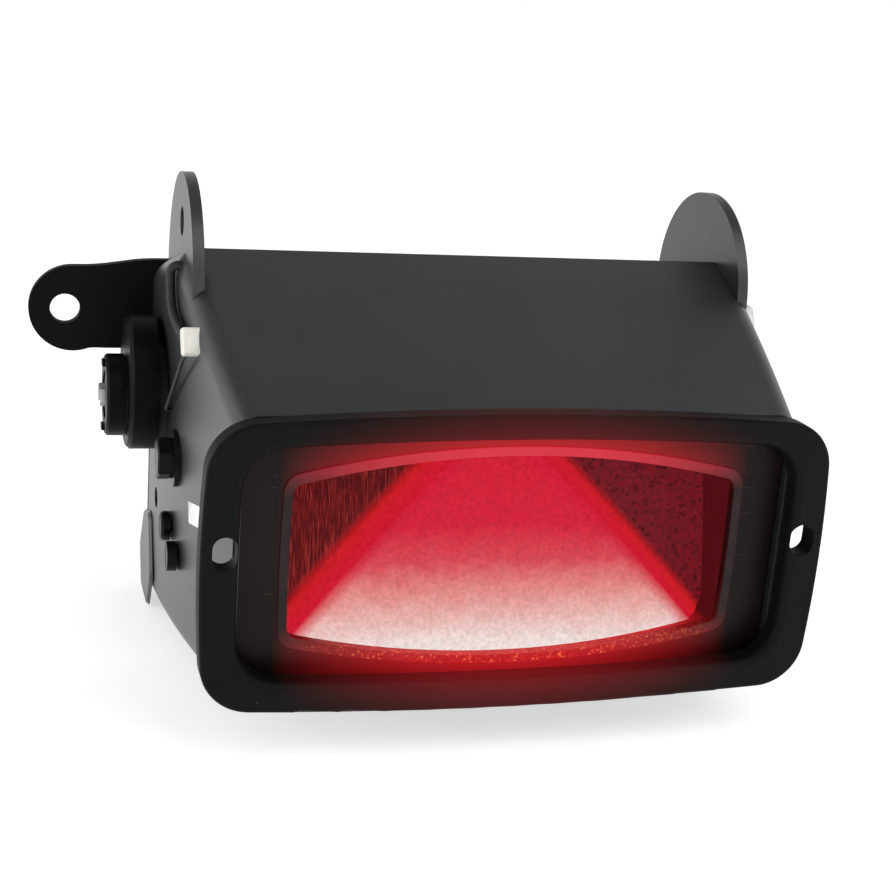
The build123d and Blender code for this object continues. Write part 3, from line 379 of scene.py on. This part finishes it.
# Contact spring: three turns of 0.6 mm plated wire between the socket's floor and the plunger.
spring_wire_radius = 0.0003
spring_turns = 3
spring_low, spring_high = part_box("contact_spring")
spring_middle = (spring_low + spring_high) / 2
spring_radius = (spring_high.y - spring_low.y) / 2 - spring_wire_radius
spring_start = spring_low.x + spring_wire_radius
spring_end = spring_high.x - spring_wire_radius


def link(name, data):
    """Puts a new object in the scene."""
    linked = bpy.data.objects.new(name, data)
    bpy.context.scene.collection.objects.link(linked)
    return linked


def wire_coil(name, wire_radius, roundness, turns, steps, point_at):
    """A coil of round wire. The last argument gives a point from its angle and its share of the length."""
    curve = bpy.data.curves.new(name, "CURVE")
    curve.dimensions = "3D"
    curve.bevel_depth = wire_radius
    curve.bevel_resolution = roundness
    line = curve.splines.new("NURBS")
    line.points.add(turns * steps)
    for step, point in enumerate(line.points):
        point.co = (*point_at(step * math.tau / steps, step / (turns * steps)), 1.0)
    line.order_u = 3
    line.use_endpoint_u = True
    return curve


def on_spring(angle, share):
    """A point on the spring's centre line, which runs along X."""
    return (spring_start + (spring_end - spring_start) * share,
            spring_middle.y + spring_radius * math.cos(angle),
            spring_middle.z + spring_radius * math.sin(angle))


spring_route = wire_coil("spring_route", spring_wire_radius, 3, spring_turns, 12, on_spring)
spring_route.use_fill_caps = True
spring_draft = link("spring_draft", spring_route)
bpy.context.view_layer.update()
drawn_spring = spring_draft.evaluated_get(bpy.context.evaluated_depsgraph_get())
spring_mesh = bpy.data.meshes.new_from_object(drawn_spring)
bpy.data.objects.remove(spring_draft)
contact_coil = link("contact_coil", spring_mesh)
spring_mesh.materials.clear()
spring_mesh.materials.append(zinc_finish)
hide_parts("contact_spring")
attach(contact_coil, "bulb_carrier")
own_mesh(contact_coil)

# Black-oxided steel: rear, bracket and side screws, the earth bolt and its washers, and the right washer.
# It is oily and a little blotchy.
oxide_finish = clouded_finish(
    "black_oxide_steel", 2, 4.0, {"Metallic": 0.8},
    tones=[(0.35, "#0E0F11"), (0.75, "#222326")], sheen=(0.3, 0.5))
wear(oxide_finish, "rear_screws", "bracket_screws", "side_screws", "hex_bolt", "flat_washer",
     "spring_washer", "right_washer")

# Bulb socket: a phenolic body with flow marks.
# The sleeve, the plunger and the bulb's base are dull, tarnished brass.
phenolic_finish = clouded_finish(
    "moulded_phenolic", 2.5, 4.0, {"Roughness": 0.55, "IOR": 1.6},
    tones=[(0.35, "#16120F"), (0.7, "#2B231D")])
wear(phenolic_finish, "socket_body")
brass_finish = clouded_finish(
    "dull_brass", 3, 4.0, {"Metallic": 1.0},
    tones=[(0.3, "#7C6436"), (0.7, "#B99A58")], sheen=(0.28, 0.5))
wear(brass_finish, "socket_sleeve", "contact_plunger", "bulb_base")

# Bulb: clear blown soda glass over a tungsten filament.
# The filament's posts and the contact on the base share its drawn-wire finish.
glass_finish = clouded_finish(
    "clear_soda_glass", 4, 2.0, {"Base Color": "#F4F6F6", "IOR": 1.52, "Transmission Weight": 1.0},
    sheen=(0.0, 0.04))
wear(glass_finish, "bulb_glass")
wire_finish = clouded_finish(
    "drawn_tungsten_and_nickel", 1.2, 3.0, {"Metallic": 1.0, "Roughness": 0.4},
    tones=[(0.3, "#4A4846"), (0.7, "#85827E")])
wear(wire_finish, "filament_posts", "base_contact")
# The filament itself is a close upright coil of 0.2 mm wire between the posts.
filament_wire_radius = 0.0001
filament_turns = 26
filament_low, filament_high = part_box("filament")
filament_middle = (filament_low + filament_high) / 2
filament_radius = (filament_high.x - filament_low.x) / 2 - filament_wire_radius


def on_filament(angle, share):
    """A point on the filament's centre line, which runs along Z."""
    return (filament_middle.x + filament_radius * math.cos(angle),
            filament_middle.y + filament_radius * math.sin(angle),
            filament_low.z + (filament_high.z - filament_low.z) * share)


filament_wire = wire_coil("filament_coil", filament_wire_radius, 2, filament_turns, 8, on_filament)
filament_wire.materials.append(wire_finish)
filament_coil = link("filament_coil", filament_wire)
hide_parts("filament")
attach(filament_coil, "bulb")

# Bowl behind the bulb: spun aluminium, brightened.
# Faint turning lines run round it.
bowl_finish, place = new_finish("brightened_aluminium")
turned = add(bowl_finish, "Mapping", {"Scale": (1.0, 0.05, 0.05)}, {0: place})
lines = add(bowl_finish, "TexNoise", {"Scale": 1000 / 0.6, "Detail": 2.0}, {"Vector": turned.outputs[0]})
tone = add(bowl_finish, "ValToRGB", {"stops": [(0.3, "#BFC0C2"), (0.7, "#E2E2E2")]}, {0: lines.outputs[0]})
sheen = add(bowl_finish, "MapRange", {3: 0.12, 4: 0.3}, {0: lines.outputs[0]})
shader = add(bowl_finish, "BsdfPrincipled", {"Metallic": 1.0},
             {"Base Color": tone.outputs[0], "Roughness": sheen.outputs[0]})
close_finish(bowl_finish, shader)
wear(bowl_finish, "lamp_bowl")

# Lead clip and label: the clip is ivory nylon, which lets a little light into itself.
# The label beside the flange is blank white vinyl, slightly grimy.
nylon_finish = clouded_finish(
    "ivory_nylon", 3, 3.0,
    {"Roughness": 0.42, "IOR": 1.53, "Subsurface Weight": 0.1, "Subsurface Scale": 0.002},
    tones=[(0.3, "#E6E3D8"), (0.7, "#F6F4EE")])
wear(nylon_finish, "lead_clip")
vinyl_finish = clouded_finish(
    "white_vinyl_label", 5, 4.0, {"Roughness": 0.5}, tones=[(0.28, "#D2D1CC"), (0.45, "#F2F2EE")])
wear(vinyl_finish, "side_label")

# Studio: a pale floor just under the lamp, a room that dims overhead as under a low ceiling of diffusers,
# two soft lights and the camera.
floor_half_width = 12.0
floor_gap = 0.0005
floor_mesh = bpy.data.meshes.new("studio_floor")
grid = bmesh.new()
bmesh.ops.create_grid(grid, x_segments=8, y_segments=8, size=floor_half_width)
grid.to_mesh(floor_mesh)
grid.free()
floor = link("studio_floor", floor_mesh)
floor.location = (0.0, 0.0, cad_box[0].z - floor_gap)
floor_finish, place = new_finish("pale_studio_floor")
paper = add(floor_finish, "TexNoise", {"Scale": 1000 / 40, "Detail": 2.0}, {"Vector": place})
tone = add(floor_finish, "ValToRGB", {"stops": [(0.3, "#F1F1F1"), (0.7, "#F6F6F6")]},
           {0: paper.outputs[0]})
shader = add(floor_finish, "BsdfPrincipled", {"Roughness": 0.9, "Emission Strength": 0.62},
             {"Base Color": tone.outputs[0], "Emission Color": tone.outputs[0]})
close_finish(floor_finish, shader)
floor_mesh.materials.append(floor_finish)

room_dim_from, room_dim_to = 0.15, 0.75
room_bright, room_dark = 1.0, 0.34
world = bpy.data.worlds.new("studio")
world.use_nodes = True
background = world.node_tree.nodes["Background"]
background.inputs[0].default_value = (1.0, 1.0, 1.0, 1.0)
upward = add(world, "SeparateXYZ", {}, {0: add(world, "TexCoord").outputs["Generated"]}).outputs[2]
dim = add(world, "MapRange", {1: room_dim_from, 2: room_dim_to, 3: room_bright, 4: room_dark}, {0: upward})
world.node_tree.links.new(dim.outputs[0], background.inputs[1])
bpy.context.scene.world = world


def softbox(name, place, target, size, power):
    """A large soft panel light aimed at a point."""
    light = bpy.data.lights.new(name, "AREA")
    light.shape = "SQUARE"
    light.size = size
    light.energy = power
    panel = link(name, light)
    panel.location = place
    panel.rotation_euler = (Vector(target) - Vector(place)).to_track_quat("-Z", "Y").to_euler()


lamp_middle = (0.0, 0.05, 0.0)
softbox("overhead", (0.3, -0.5, 0.8), lamp_middle, 0.7, 3.0)
softbox("left", (-0.9, 0.1, 0.25), lamp_middle, 0.6, 2.0)

camera_data = bpy.data.cameras.new("camera")
camera_data.sensor_width = 36.0
camera_data.lens = 64.29
camera_data.clip_start = 0.01
camera = link("camera", camera_data)
camera.location = (-0.127464, -0.345588, 0.132651)
camera.rotation_euler = (1.281688, -0.075502, -0.272087)
bpy.context.scene.camera = camera
bpy.context.scene.view_settings.view_transform = "Standard"
